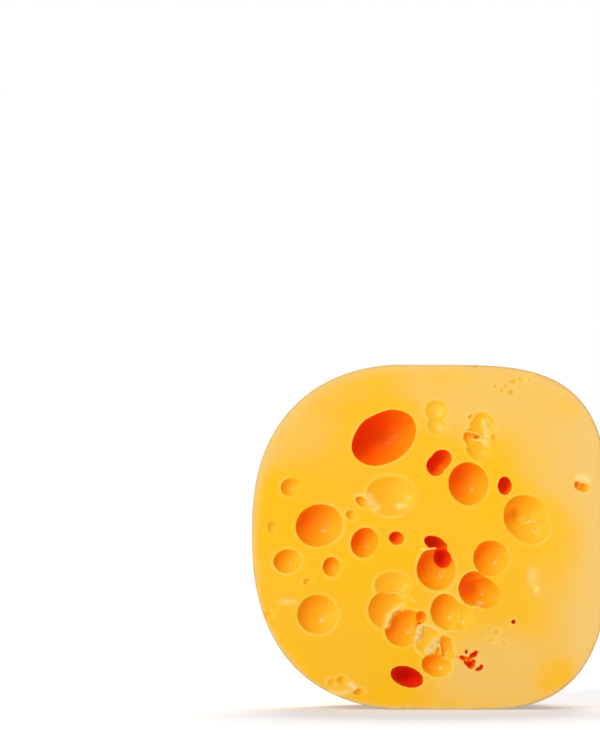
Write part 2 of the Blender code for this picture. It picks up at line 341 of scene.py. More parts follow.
reach = 2 * WHEEL_RADIUS
sector = block(
    "sector",
    [
        (AXIS_X, FRONT_Y),
        (AXIS_X + reach, FRONT_Y),
        (AXIS_X + reach * math.cos(WEDGE_ANGLE), FRONT_Y + reach * math.sin(WEDGE_ANGLE)),
    ],
    "Z",
    -CUTTER_REACH,
    WHEEL_HEIGHT + CUTTER_REACH,
)
trim = block(
    "trim",
    [
        (TOP_TRIM.x, WHEEL_HEIGHT + CUTTER_REACH),
        (AXIS_X - CUTTER_REACH, WHEEL_HEIGHT + CUTTER_REACH),
        (AXIS_X - CUTTER_REACH, -CUTTER_REACH),
        (BOTTOM_TRIM.x, -CUTTER_REACH),
        *corner_points(BOTTOM_TRIM, -1, -90, 0),
        *corner_points(TOP_TRIM, -1, 0, 90)[1:],
    ],
    "Y",
    -WHEEL_RADIUS,
    WHEEL_RADIUS,
)
wedge = turned_wheel()
cut(wedge, "INTERSECT", sector)
cut(wedge, "DIFFERENCE", trim)

# The eyes: gas bubbles that grew in the young cheese, cut open by the wire, so their walls are
# smooth and glossy. Each is an uneven ball put at its place in a cut face, with ripples or a torn
# wall where the cheese shows them. One tree makes them all, and they are cut out together.
Eye = namedtuple("Eye", "x z half_width half_height depth tilt swell tone tear ripple")
FRONT_EYES = (
    Eye(-16.0, 94.5, 12.0, 8.7, 12.0, 31, 0.15, 0.72, 0.0, 0.0),
    Eye(2.4, 104.1, 3.9, 3.6, 1.5, 0, -0.5, 0.04, 0.05, 0.0),
    Eye(2.5, 99.0, 3.3, 3.1, 1.4, 0, -0.5, 0.04, 0.08, 0.0),
    Eye(18.4, 98.6, 4.4, 5.2, 1.5, 20, -0.5, 0.1, 0.3, 0.2),
    Eye(14.4, 94.8, 2.6, 3.0, 2.2, 0, -0.3, 0.22, 0.3, 0.0),
    Eye(16.8, 90.4, 4.2, 3.4, 1.5, -15, -0.5, 0.12, 0.3, 0.2),
    Eye(4.0, 87.0, 3.7, 3.2, 6.5, 35, 0.25, 0.81, 0.0, 0.0),
    Eye(2.1, 84.8, 3.2, 3.5, 6.0, 0, 0.2, 0.81, 0.0, 0.0),
    Eye(13.4, 78.6, 6.8, 7.4, 7.0, 10, 0.0, 0.5, 0.0, 0.0),
    Eye(26.1, 77.8, 2.3, 3.1, 6.5, 0, 0.3, 0.85, 0.0, 0.0),
    Eye(53.8, 77.2, 1.9, 1.6, 1.5, 20, -0.1, 0.34, 0.3, 0.0),
    Eye(51.4, 78.1, 1.0, 1.5, 1.8, 0, 0.0, 0.5, 0.3, 0.0),
    Eye(33.0, 67.2, 7.5, 7.6, 3.8, 0, -0.45, 0.24, 0.0, 0.25),
    Eye(34.9, 63.8, 6.8, 6.1, 3.2, -20, -0.5, 0.1, 0.0, 0.35),
    Eye(30.9, 66.8, 5.0, 5.0, 4.5, 0, -0.6, 0.3, 0.0, 0.25),
    Eye(21.3, 52.6, 6.1, 6.1, 4.8, 0, -0.15, 0.36, 0.0, 0.0),
    Eye(15.3, 42.0, 5.2, 6.0, 5.0, 0, -0.15, 0.5, 0.0, 0.0),
    Eye(17.0, 41.2, 6.5, 5.1, 7.0, -8, -0.1, 0.51, 0.0, 0.0),
    Eye(19.8, 39.8, 4.9, 4.6, 4.0, -10, -0.2, 0.44, 0.0, 0.0),
    Eye(2.2, 48.8, 6.8, 7.4, 6.2, 10, -0.05, 0.45, 0.0, 0.8),
    Eye(4.2, 52.3, 3.2, 3.7, 10.0, 10, 0.1, 0.95, 0.0, 0.0),
    Eye(2.1, 57.6, 4.2, 2.4, 7.5, -25, 0.1, 0.92, 0.0, 0.0),
    Eye(-13.6, 74.4, 8.7, 7.0, 2.1, -5, -0.6, 0.12, 0.0, 0.1),
    Eye(-23.6, 72.3, 2.4, 1.6, 1.8, -35, -0.3, 0.26, 0.3, 0.0),
    Eye(-13.2, 43.2, 6.2, 4.8, 1.5, 0, -0.6, 0.14, 0.0, 0.3),
    Eye(-15.0, 34.6, 6.5, 6.5, 3.2, 0, -0.4, 0.22, 0.0, 0.3),
    Eye(-8.7, 28.3, 7.0, 6.0, 5.0, 30, -0.15, 0.34, 0.0, 0.0),
    Eye(-3.2, 31.8, 1.9, 2.4, 4.8, -20, -0.1, 0.4, 0.0, 0.0),
    Eye(-3.8, 29.2, 1.5, 0.8, 6.0, 49, 0.0, 0.8, 0.5, 0.0),
    Eye(5.6, 33.9, 5.3, 6.3, 4.2, 15, -0.25, 0.3, 0.0, 0.3),
    Eye(10.4, 32.2, 4.3, 4.7, 1.8, 0, -0.5, 0.14, 0.0, 0.2),
    Eye(-0.4, 24.5, 4.9, 5.4, 1.7, 0, -0.6, 0.04, 0.15, 0.0),
    Eye(2.4, 15.3, 5.2, 3.9, 4.0, -12, -0.2, 0.3, 0.2, 0.0),
    Eye(5.3, 20.9, 3.6, 4.6, 2.8, 15, -0.3, 0.22, 0.3, 0.6),
    Eye(-8.0, 11.4, 5.8, 3.4, 7.5, -17, 0.2, 1.0, 0.0, 0.0),
    Eye(11.7, 17.9, 1.6, 0.8, 3.6, -15, 0.1, 0.68, 0.8, 0.0),
    Eye(14.2, 15.4, 1.5, 1.2, 4.0, -20, 0.1, 0.86, 0.9, 0.0),
    Eye(17.8, 14.6, 0.7, 1.2, 3.0, -25, 0.1, 0.85, 0.8, 0.0),
    Eye(15.8, 19.4, 0.8, 1.3, 3.0, -25, 0.1, 0.9, 0.7, 0.0),
    Eye(12.8, 20.2, 0.5, 0.9, 2.5, -15, 0.1, 1.0, 0.5, 0.0),
    Eye(10.1, 18.1, 0.8, 0.35, 1.5, 10, 0.0, 0.7, 0.5, 0.0),
    Eye(13.9, 17.5, 1.0, 0.7, 2.5, 0, 0.0, 0.66, 0.9, 0.0),
    Eye(15.4, 16.7, 0.8, 0.7, 2.5, 30, 0.0, 0.9, 0.9, 0.0),
    Eye(12.5, 16.1, 0.8, 0.6, 2.0, -40, 0.0, 0.9, 0.8, 0.0),
    Eye(16.7, 13.9, 0.9, 0.6, 2.4, 10, 0.0, 0.85, 0.8, 0.0),
    Eye(14.5, 18.8, 0.6, 0.8, 2.5, 10, 0.0, 1.0, 0.7, 0.0),
    Eye(-39.1, 33.1, 7.0, 6.8, 4.2, 0, -0.3, 0.24, 0.0, 0.0),
    Eye(-56.6, 32.6, 2.3, 1.4, 0.8, 10, -0.3, 0.14, 0.2, 0.0),
    Eye(-34.0, 9.5, 1.6, 1.3, 0.6, 0, -0.4, 0.1, 0.3, 0.0),
    Eye(-30.7, 10.0, 1.8, 1.5, 0.8, 0, -0.4, 0.18, 0.3, 0.0),
    Eye(-24.4, 6.2, 2.3, 1.1, 1.1, 8, -0.3, 0.3, 0.3, 0.0),
    Eye(23.0, 112.6, 0.9, 0.8, 0.5, 0, -0.4, 0.08, 0.2, 0.0),
    Eye(25.2, 111.1, 0.8, 0.9, 0.6, 0, -0.4, 0.08, 0.2, 0.0),
    Eye(26.6, 112.7, 1.0, 0.7, 0.6, 0, -0.4, 0.05, 0.2, 0.0),
    Eye(28.4, 110.4, 1.1, 0.9, 0.7, 0, -0.4, 0.08, 0.2, 0.0),
    Eye(29.3, 114.2, 1.4, 0.8, 0.6, 15, -0.4, 0.14, 0.2, 0.0),
    Eye(31.6, 115.2, 1.1, 0.8, 0.5, -30, -0.4, 0.05, 0.2, 0.0),
    Eye(34.8, 115.0, 0.5, 0.9, 0.4, 0, -0.4, 0.08, 0.2, 0.0),
    Eye(23.4, 26.9, 1.0, 0.9, 0.6, 0, -0.4, 0.08, 0.1, 0.0),
    Eye(26.1, 23.2, 0.9, 0.8, 0.5, 0, -0.4, 0.08, 0.1, 0.0),
    Eye(21.6, 24.1, 1.1, 0.8, 0.5, -10, -0.4, 0.05, 0.3, 0.0),
    Eye(16.3, 94.7, 1.1, 0.6, 3.4, 0, 0.0, 0.3, 0.3, 0.0),
    Eye(22.2, 94.8, 0.6, 0.9, 1.2, 0, 0.0, 0.12, 0.2, 0.0),
    Eye(14.2, 101.9, 0.9, 0.6, 1.2, 40, 0.0, 0.15, 0.2, 0.0),
    Eye(29.1, 30.5, 0.7, 0.9, 2.0, 0, 0.1, 1.0, 0.0, 0.0),
    Eye(-38.5, 64.0, 8.2, 7.2, 6.0, 15, -0.1, 0.44, 0.0, 0.1),
    Eye(-22.8, 58.0, 4.6, 5.2, 5.0, -20, 0.0, 0.5, 0.0, 0.0),
    Eye(-49.6, 51.6, 4.8, 4.1, 3.4, 10, -0.25, 0.26, 0.0, 0.25),
    Eye(-34.2, 49.6, 3.0, 3.4, 3.0, 0, -0.1, 0.38, 0.1, 0.0),
    Eye(-48.4, 77.4, 3.6, 3.0, 2.6, 25, -0.3, 0.2, 0.1, 0.2),
    Eye(-11.6, 59.6, 2.6, 2.2, 3.8, -15, 0.1, 0.74, 0.0, 0.0),
    Eye(-54.8, 63.4, 1.6, 2.0, 1.4, 0, -0.3, 0.12, 0.2, 0.0),
    Eye(-27.4, 67.6, 1.9, 1.5, 1.5, -30, -0.3, 0.18, 0.2, 0.0),
    Eye(-42.6, 44.4, 1.4, 1.1, 1.1, 0, -0.3, 0.14, 0.2, 0.0),
)
BACK_EYE_RADII = (9.6, 8.2, 7.4, 6.8, 6.4, 6.0, 5.6, 5.0, 4.6, 4.0, 3.4, 2.8, 2.4, 2.0, 1.6)
BACK_RIM_MARGIN = 0.010
BACK_EYE_SPACING = 0.0015
BACK_SEED = 12
PLAIN_EYE_HEIGHT = 0.93
PLAIN_EYE_SWELL = -0.2
PLAIN_EYE_TONES = (0.15, 0.75)
BACK_EYE_DEPTH = 0.75
UNEVENNESS = 0.05
UNEVEN_WAVES = 150.0
UNEVEN_SEED = 4.0
TEAR_WAVES = 900.0
RIPPLES = 0.035
RIPPLE_WAVES = 3100.0
RIPPLE_WANDER = 5.0
BALL_RINGS = 28
EYE_VOXEL = 0.30 * MM

Hollow = namedtuple("Hollow", "face half_width half_height depth swell tone tear ripple")
Ball = namedtuple("Ball", "middle half_sizes turn tear ripple")


def front_face(x, z, tilt):
    """A mouth's place in the front cut face: X and Z lie in the face, and Y points into the cheese."""
    return Matrix.Translation((x, FRONT_Y, z)) @ Matrix.Rotation(-math.radians(tilt), 4, "Y")


def back_face(along, z):
    axis = Matrix.Translation((AXIS_X, FRONT_Y, 0.0)) @ Matrix.Rotation(WEDGE_ANGLE, 4, "Z")
    return axis @ Matrix.Translation((along, 0.0, z)) @ Matrix.Rotation(math.pi, 4, "Z")


def outline_gap(x, z):
    """Roughly how far points of the XZ plane lie inside the cheese's outline. Takes arrays too."""
    gap = np.full(np.shape(x), np.inf)
    corners = ((TOP_RIM, 1, 1), (BOTTOM_RIM, 1, 0), (TOP_TRIM, -1, 1), (BOTTOM_TRIM, -1, 0))
    for corner, side, above in corners:
        here = ((x > 0) == (side > 0)) & ((z > WHEEL_HEIGHT / 2) == (above > 0))
        across = np.maximum(0.0, (x - corner.x) * side) / corner.half_width
        up = np.abs(z - corner.z) / corner.half_height
        level = (across**corner.exponent + up**corner.exponent) ** (1 / corner.exponent)
        gap = np.where(here, (1 - level) * min(corner.half_width, corner.half_height), gap)
    return gap


def back_hollows():
    """The hidden cut face's eyes, placed in turn by a seeded rule."""
    draw = random.Random(BACK_SEED)
    placed = []
    while len(placed) < len(BACK_EYE_RADII):
        radius = BACK_EYE_RADII[len(placed)] * MM
        x = draw.uniform(-HALF_LENGTH, HALF_LENGTH * math.cos(WEDGE_ANGLE))
        z = draw.uniform(0.0, WHEEL_HEIGHT)
        along = (x - AXIS_X) / math.cos(WEDGE_ANGLE)
        clear = all(math.hypot(along - a, z - h) > radius + r + BACK_EYE_SPACING for a, h, r in placed)
        in_face = outline_gap(along + AXIS_X, z) > radius + BACK_RIM_MARGIN
        if clear and in_face:
            placed.append((along, z, radius))
    return [plain_hollow(back_face(a, z), r, r * BACK_EYE_DEPTH, draw) for a, z, r in placed]


def plain_hollow(face, radius, depth, draw):
    tone = draw.uniform(*PLAIN_EYE_TONES)
    return Hollow(face, radius, radius * PLAIN_EYE_HEIGHT, depth, PLAIN_EYE_SWELL, tone, 0.0, 0.0)


def all_hollows():
    hollows = []
    for eye in FRONT_EYES:
        face = front_face(eye.x * MM, eye.z * MM, eye.tilt)
        size = (eye.half_width * MM, eye.half_height * MM, eye.depth * MM)
        hollows.append(Hollow(face, *size, eye.swell, eye.tone, eye.tear, eye.ripple))
    hollows += back_hollows()
    return hollows


def geometry_tree(name, material, **inputs):
    """A Geometry Nodes tree with named inputs, given as name=(socket type, value), which ends by
    joining its instances and setting the material."""
    group = bpy.data.node_groups.new(name, "GeometryNodeTree")
    inputs["Material"] = ("NodeSocketMaterial", material)
    group.interface.new_socket("Geometry", in_out="INPUT", socket_type="NodeSocketGeometry")
    for label, (kind, value) in inputs.items():
        group.interface.new_socket(label, in_out="INPUT", socket_type=kind).default_value = value
    group.interface.new_socket("Geometry", in_out="OUTPUT", socket_type="NodeSocketGeometry")
    tree = Tree(group)
    entry = group.nodes.new("NodeGroupInput")
    return group, tree, {socket.name: Value(tree, socket) for socket in entry.outputs}


def end_tree(tree, given, geometry):
    joined = tree.node("GeometryNodeRealizeInstances", None, {"Geometry": geometry})
    painted = tree.node("GeometryNodeSetMaterial", None, {"Geometry": joined, "Material": given["Material"]})
    tree.node("NodeGroupOutput", None, {0: painted})


def grown(obj, group, **values):
    """The object's mesh as a Geometry Nodes tree makes it."""
    modifier = obj.modifiers.new(group.name, "NODES")
    modifier.node_group = group
    for item in group.interface.items_tree:
        if item.in_out == "INPUT" and item.name in values:
            modifier[item.identifier] = values[item.name]
    mesh = baked_mesh(obj)
    obj.modifiers.remove(modifier)
    return mesh


def ball_tree():
    """Turns each point into an uneven ball, by the point's own half sizes, turn, tear and ripple."""
    group, tree, given = geometry_tree(
        "uneven_balls",
        paste,
        Rings=("NodeSocketInt", BALL_RINGS),
        Unevenness=("NodeSocketFloat", UNEVENNESS),
        Waves=("NodeSocketFloat", UNEVEN_WAVES),
        TearWaves=("NodeSocketFloat", TEAR_WAVES),
        RippleWaves=("NodeSocketFloat", RIPPLE_WAVES),
        Seed=("NodeSocketFloat", UNEVEN_SEED),
    )

    def own(name, kind="FLOAT"):
        return tree.node("GeometryNodeInputNamedAttribute", {"data_type": kind}, {"Name": name})

    position = tree.node("GeometryNodeInputPosition")
    marked = tree.node(
        "GeometryNodeStoreNamedAttribute",
        {"data_type": "FLOAT_VECTOR"},
        {"Geometry": given["Geometry"], "Name": "middle", "Value": position},
    )
    rings = given["Rings"]
    counts = {"Segments": rings * 2, "Rings": rings, "Radius": 1.0}
    ball = tree.node("GeometryNodeMeshUVSphere", None, counts)
    quarter = {"Geometry": ball, "Rotation": (math.pi / 2, 0.0, 0.0)}
    upright = tree.node("GeometryNodeTransform", None, quarter)
    turn = own("turn", "FLOAT_VECTOR")
    sizes = own("half_sizes", "FLOAT_VECTOR")
    placed = tree.node(
        "GeometryNodeInstanceOnPoints",
        None,
        {"Points": marked, "Instance": upright, "Rotation": turn, "Scale": sizes},
    )
    joined = tree.node("GeometryNodeRealizeInstances", None, {"Geometry": placed})
    outward = tree.node(
        "ShaderNodeVectorMath", {"operation": "SUBTRACT"}, {0: position, 1: own("middle", "FLOAT_VECTOR")}
    )
    waves = tree.node(
        "ShaderNodeTexNoise",
        {"noise_dimensions": "4D"},
        {"Vector": position, "W": given["Seed"], "Scale": given["Waves"], "Detail": 1.0},
    )
    torn_noise = {"Vector": position, "Scale": given["TearWaves"], "Detail": 2.0}
    crumbs = tree.node("ShaderNodeTexNoise", None, torn_noise)
    flat = tree.node("ShaderNodeVectorMath", {"operation": "MULTIPLY"}, {0: outward, 1: (1.0, 0.0, 1.0)})
    distance = tree.node("ShaderNodeVectorMath", {"operation": "LENGTH"}, {0: flat}, output=1)
    rippled = (distance * given["RippleWaves"] + waves * RIPPLE_WANDER).sine() * own("ripple") * RIPPLES
    swing = (waves - 0.5) * given["Unevenness"] * 2 + (crumbs - 0.5) * own("tear") + rippled
    offset = tree.node("ShaderNodeVectorMath", {"operation": "SCALE"}, {0: outward, "Scale": swing})
    end_tree(tree, given, tree.node("GeometryNodeSetPosition", None, {"Geometry": joined, "Offset": offset}))
    return group


def set_attribute(mesh, name, values, kind="FLOAT", field="value"):
    attribute = mesh.attributes.new(name, kind, "POINT")
    attribute.data.foreach_set(field, np.array(values, np.float32).ravel())


def solid_balls(name, balls, voxel):
    """The balls as one closed solid."""
    mesh = bpy.data.meshes.new(name)
    mesh.from_pydata([ball.middle for ball in balls], [], [])
    set_attribute(mesh, "half_sizes", [ball.half_sizes for ball in balls], "FLOAT_VECTOR", "vector")
    set_attribute(mesh, "turn", [ball.turn for ball in balls], "FLOAT_VECTOR", "vector")
    set_attribute(mesh, "tear", [ball.tear for ball in balls])
    set_attribute(mesh, "ripple", [ball.ripple for ball in balls])
    points = new_object(name + "_points", mesh)
    loose = new_object(name + "_loose", grown(points, uneven_balls))
    remesh(loose, voxel)
    solid = new_object(name, baked_mesh(loose))
    bpy.data.objects.remove(points)
    bpy.data.objects.remove(loose)
    return solid


def remesh(obj, size):
    voxels = obj.modifiers.new("voxels", "REMESH")
    voxels.mode = "VOXEL"
    voxels.voxel_size = size


def eye_ball(hollow):
    """The ball whose cut through the face is the eye's mouth, and which reaches the eye's depth."""
    deep = hollow.depth / (1 + hollow.swell)
    spread = 1 / math.sqrt(1 - hollow.swell**2)
    middle = hollow.face @ Vector((0.0, hollow.swell * deep, 0.0))
    sizes = (hollow.half_width * spread, deep, hollow.half_height * spread)
    return Ball(middle, sizes, hollow.face.to_euler(), hollow.tear, hollow.ripple)


paste = paste_material()
uneven_balls = ball_tree()
hollows = all_hollows()
eyes = solid_balls("eyes", [eye_ball(hollow) for hollow in hollows], EYE_VOXEL)

# The torn walls: where eyes nearly met, the wire tore the thin wall between them, and it is left as
# a ragged fin or a curled flap, paler than the paste round it. Each is a row of small uneven balls
# along its line in the front cut face, that reach down into the eyes.
Fin = namedtuple("Fin", "points half_width depth pale top", defaults=(0.0,))
FINS = (
    Fin(((15.8, 102.0), (14.0, 100.1), (11.9, 97.3)), 0.4, 2.0, 0.3),
    Fin(((12.1, 96.8), (14.3, 96.6), (16.8, 96.1), (18.1, 94.8)), 0.4, 2.2, 0.25),
    Fin(((14.7, 94.0), (17.7, 93.6), (20.6, 91.2)), 0.45, 2.6, 0.45),
    Fin(((18.9, 99.8), (19.6, 97.4), (19.8, 95.0), (19.2, 92.4)), 1.1, 2.0, 0.45, 0.8),
    Fin(((19.9, 101.6), (21.6, 99.0), (22.7, 95.6)), 0.35, 1.6, 0.25),
    Fin(((-15.2, 29.0), (-14.3, 32.1), (-12.6, 34.5), (-9.8, 36.0)), 1.3, 4.0, 0.4, 0.2),
    Fin(((-14.4, 40.6), (-11.0, 40.6), (-7.8, 39.4), (-5.0, 37.4)), 0.4, 2.2, 0.25),
    Fin(((-3.4, 28.0), (-3.8, 26.6), (-4.4, 24.8)), 1.3, 3.0, 0.8),
    Fin(((-2.8, 29.6), (0.4, 28.9), (3.2, 27.2), (3.3, 25.4)), 0.5, 1.8, 0.45),
    Fin(((2.2, 23.6), (1.2, 21.8), (-0.4, 20.4)), 1.3, 2.0, 0.85),
    Fin(((-5.1, 23.2), (-4.9, 20.6), (-2.8, 18.5)), 0.45, 1.6, 0.3),
    Fin(((1.1, 29.6), (5.5, 27.1), (9.8, 27.4)), 0.4, 1.8, 0.25),
    Fin(((7.6, 23.2), (9.0, 19.0), (8.2, 14.7)), 0.4, 1.8, 0.25),
    Fin(((3.4, 22.9), (3.9, 18.9)), 0.35, 2.4, 0.2),
    Fin(((51.7, 80.6), (53.5, 80.9), (54.8, 79.6)), 1.2, 1.6, 0.85),
    Fin(((-27.4, 8.6), (-26.6, 7.6)), 1.1, 1.2, 0.9),
    Fin(((-34.4, 6.1), (-31.3, 5.7), (-28.2, 6.2)), 0.8, 0.8, 0.6),
    Fin(((-36.7, 9.5), (-35.8, 10.4), (-34.4, 11.1)), 0.35, 1.2, 0.25),
    Fin(((-26.1, 8.8), (-24.0, 7.8), (-21.9, 6.0)), 0.4, 1.4, 0.25),
    Fin(((-2.6, 55.7), (-0.3, 55.8), (2.0, 56.1)), 0.42, 1.2, 0.45),
)
FIN_STEP = 0.5
FIN_WANDER = 0.25
FIN_TEAR = 0.5
FIN_SEED = 5
FIN_VOXEL = 0.2 * MM


def fin_line(fin):
    """Places in mm along a fin's bent line, a share of its width apart."""
    places = [Vector(fin.points[0])]
    for start, end in zip(fin.points, fin.points[1:]):
        start, end = Vector(start), Vector(end)
        steps = max(1, round((end - start).length / fin.half_width / FIN_STEP))
        places += [start.lerp(end, step / steps) for step in range(1, steps + 1)]
    return places


def fin_balls():
    draw = random.Random(FIN_SEED)
    balls = []
    for fin in FINS:
        for place in fin_line(fin):
            size = fin.half_width * draw.uniform(1 - FIN_WANDER, 1 + FIN_WANDER)
            x = place.x + draw.uniform(-FIN_WANDER, FIN_WANDER) * fin.half_width
            z = place.y + draw.uniform(-FIN_WANDER, FIN_WANDER) * fin.half_width
            middle = Vector((x * MM, FRONT_Y + (fin.top + fin.depth) / 2 * MM, z * MM))
            sizes = (size * MM, (fin.depth - fin.top) / 2 * MM, size * MM)
            balls.append(Ball(middle, sizes, Euler(), FIN_TEAR, 0.0))
    return balls


fins = solid_balls("fins", fin_balls(), FIN_VOXEL)

# The cheese as one piece: the eyes are cut out and the fins put in, the sharp edges that no real
# knife leaves are worn round, and the surfaces get the faint waves of the wire and a fine grain.
VOXEL = 0.36 * MM
SOFTENING_PASSES = 2
SOFTENING = 0.5
WIRE_WAVES = 24.0
WIRE_DEPTH = 0.16 * MM
GRAIN_WAVES = 260.0
GRAIN_DEPTH = 0.05 * MM
SURFACE_SEED = 7.0
TRIANGLES = 196000
SPARED_STEPS = 10
SPARING = 4.0
LIP_KEEP = 2.5 * MM
# The share of an eye's tone at its mouth; it rises to the full tone at its deepest point, as painted shade.
MOUTH_SHADE_SHARE = 0.8
# Each eye's wall is painted redder towards LIT_FROM, where the wall turns away from the lamps: painted
# shade.
PAINTED_SHADE_LEAN = 0.3
LEAN_TONE = 0.3
LEAN_RATE = 1.3
LIT_FROM = (-0.86, 0.0, 0.5)
Spot = namedtuple("Spot", "x z half_width half_height share")
# Soft spots of painted shade where eyes go deepest, at the apex of the cut and in the largest eye's middle.
SHADE_SPOTS = (
    Spot(12.4, 78.6, 1.1, 1.5, 0.3),
    Spot(29.4, 67.8, 1.1, 1.9, 0.5),
    Spot(15.0, 41.3, 1.7, 2.0, 0.5),
    Spot(16.3, 94.7, 1.0, 0.5, 0.4),
    Spot(22.4, 94.8, 0.6, 1.0, 0.2),
    Spot(14.2, 101.9, 0.8, 0.5, 0.15),
    Spot(5.8, 85.0, 1.1, 1.2, 0.3),
    Spot(12.8, 20.2, 0.5, 0.9, 0.5),
    Spot(15.0, 18.8, 0.5, 0.7, 0.5),
    Spot(9.4, 18.4, 0.7, 0.4, 0.4),
    Spot(13.2, 16.0, 0.4, 0.5, 0.4),
    Spot(16.6, 13.8, 0.7, 0.4, 0.4),
    Spot(51.6, 77.6, 0.8, 1.0, 0.4),
    Spot(34.9, 46.0, 0.5, 0.9, 0.14),
    Spot(28.4, 110.4, 0.8, 0.7, 0.12),
    Spot(25.2, 111.1, 0.6, 0.7, 0.1),
    Spot(31.8, 114.9, 0.7, 0.5, 0.12),
    Spot(-27.5, 7.4, 0.6, 0.5, 0.2),
    Spot(0.3, 58.6, 1.5, 1.2, 0.5),
    Spot(4.9, 57.4, 1.6, 0.6, 0.35),
    Spot(7.0, 52.8, 0.6, 2.6, 0.3),
    Spot(-16.3, 94.2, 4.2, 3.2, 0.35),
)
# Pale scars and torn walls; the first two rows, in the two cups at the top, and the fifth, at the lower lip
# of the eye at 17 mm, 41 mm, are painted highlights.
PALE_SPOTS_AND_GLINTS = (
    Spot(3.0, 104.4, 2.4, 2.2, 0.2),
    Spot(3.2, 98.2, 2.0, 1.8, 0.25),
    Spot(35.6, 46.4, 1.9, 3.4, 0.42),
    Spot(37.2, 41.8, 1.1, 1.8, 0.55),
    Spot(17.5, 36.9, 1.6, 0.7, 0.45),
    Spot(-49.5, 37.4, 4.0, 1.3, 0.35),
    Spot(-21.2, 73.7, 1.6, 1.9, 0.42),
    Spot(-20.2, 71.9, 1.7, 1.9, 0.42),
    Spot(-18.7, 70.2, 1.8, 1.6, 0.42),
    Spot(-24.0, 74.7, 2.8, 0.9, 0.3),
)
Patch = namedtuple("Patch", "x z half_width half_height pale")
PALE_PATCHES = (
    Patch(19, 107, 27, 15, 0.68),
    Patch(-7, 116, 9, 9, 0.4),
    Patch(-55, 98, 24, 16, 0.52),
    Patch(23, 12, 24, 18, 0.68),
    Patch(44, 87, 18, 14, 0.5),
    Patch(38, 45, 6, 8, 0.25),
    Patch(-28, 112, 14, 7, 0.3),
)
YELLOW_PATCHES = (
    Patch(51, 107, 5, 5, -0.55),
    Patch(45, 11, 9, 8, -0.7),
    Patch(44, 56, 12, 15, -0.35),
)
PALE_RIM = (28.0, 62.0)
EDGE_PALE = 0.85
EDGE_HEIGHTS = (35.0, 65.0)
EDGE_REACHES = (1.6, 4.5)
EDGE_DEPTH = (4.0, 0.5)
SPOT_REACH = 20.0
RIGHT_OF_MIDDLE = 0.001 * MM
WALL_REACH = 1.2 * MM
LIP_OUT = 0.6 * MM
LIP_WIDTH = 0.6 * MM
LIP_DEPTH = 1.5 * MM


def surface_tree():
    """Moves the surface along its normals by broad wire waves and a fine grain."""
    group, tree, given = geometry_tree(
        "cut_surface",
        paste,
        Waves=("NodeSocketFloat", WIRE_WAVES),
        Depth=("NodeSocketFloat", WIRE_DEPTH),
        Grain=("NodeSocketFloat", GRAIN_WAVES),
        GrainDepth=("NodeSocketFloat", GRAIN_DEPTH),
        Seed=("NodeSocketFloat", SURFACE_SEED),
    )

    def noise(scale, detail):
        values = {"W": given["Seed"], "Scale": scale, "Detail": detail}
        return tree.node("ShaderNodeTexNoise", {"noise_dimensions": "4D"}, values)

    waves = noise(given["Waves"], 1.0)
    grain = noise(given["Grain"], 2.0)
    rise = (waves - 0.5) * given["Depth"] * 2 + (grain - 0.5) * given["GrainDepth"] * 2
    normal = tree.node("GeometryNodeInputNormal")
    offset = tree.node("ShaderNodeVectorMath", {"operation": "SCALE"}, {0: normal, "Scale": rise})
    moved = tree.node("GeometryNodeSetPosition", None, {"Geometry": given["Geometry"], "Offset": offset})
    end_tree(tree, given, moved)
    return group


def points_of(mesh):
    places = np.empty(len(mesh.vertices) * 3)
    mesh.vertices.foreach_get("co", places)
    return places.reshape(-1, 3)


def wheel_gap(places):
    """How far inside the wheel's own skin each point lies, in metres."""
    x, y, z = places.T
    radial = np.hypot(x - AXIS_X, y - FRONT_Y) + AXIS_X
    rim = outline_gap(np.maximum(radial, RIGHT_OF_MIDDLE), z)
    return np.where(radial > 0, rim, np.minimum(z, WHEEL_HEIGHT - z))


def trim_gap(places):
    """How far inside the trimmed round end each point lies, in metres."""
    x, _, z = places.T
    return np.where(x < 0, outline_gap(np.minimum(x, 0.0), z), HALF_LENGTH)


def back_gap(places):
    x, y, _ = places.T
    return (x - AXIS_X) * math.sin(WEDGE_ANGLE) - (y - FRONT_Y) * math.cos(WEDGE_ANGLE)


def in_face(hollow, places):
    """Points in an eye's own axes: across its mouth, into the cheese, and up."""
    turned = np.array(hollow.face.inverted())
    return places @ turned[:3, :3].T + turned[:3, 3]


def near_eye(hollow, places):
    """The points round an eye: their numbers, their places in its axes, and how far past its mouth's
    edge they lie, in metres."""
    size = max(hollow.half_width, hollow.half_height)
    away = np.linalg.norm(places - np.array(hollow.face.translation), axis=1)
    near = np.flatnonzero(away < 2 * size + hollow.depth)
    own = in_face(hollow, places[near])
    past = (np.hypot(own[:, 0] / hollow.half_width, own[:, 2] / hollow.half_height) - 1) * size
    return near, own, past


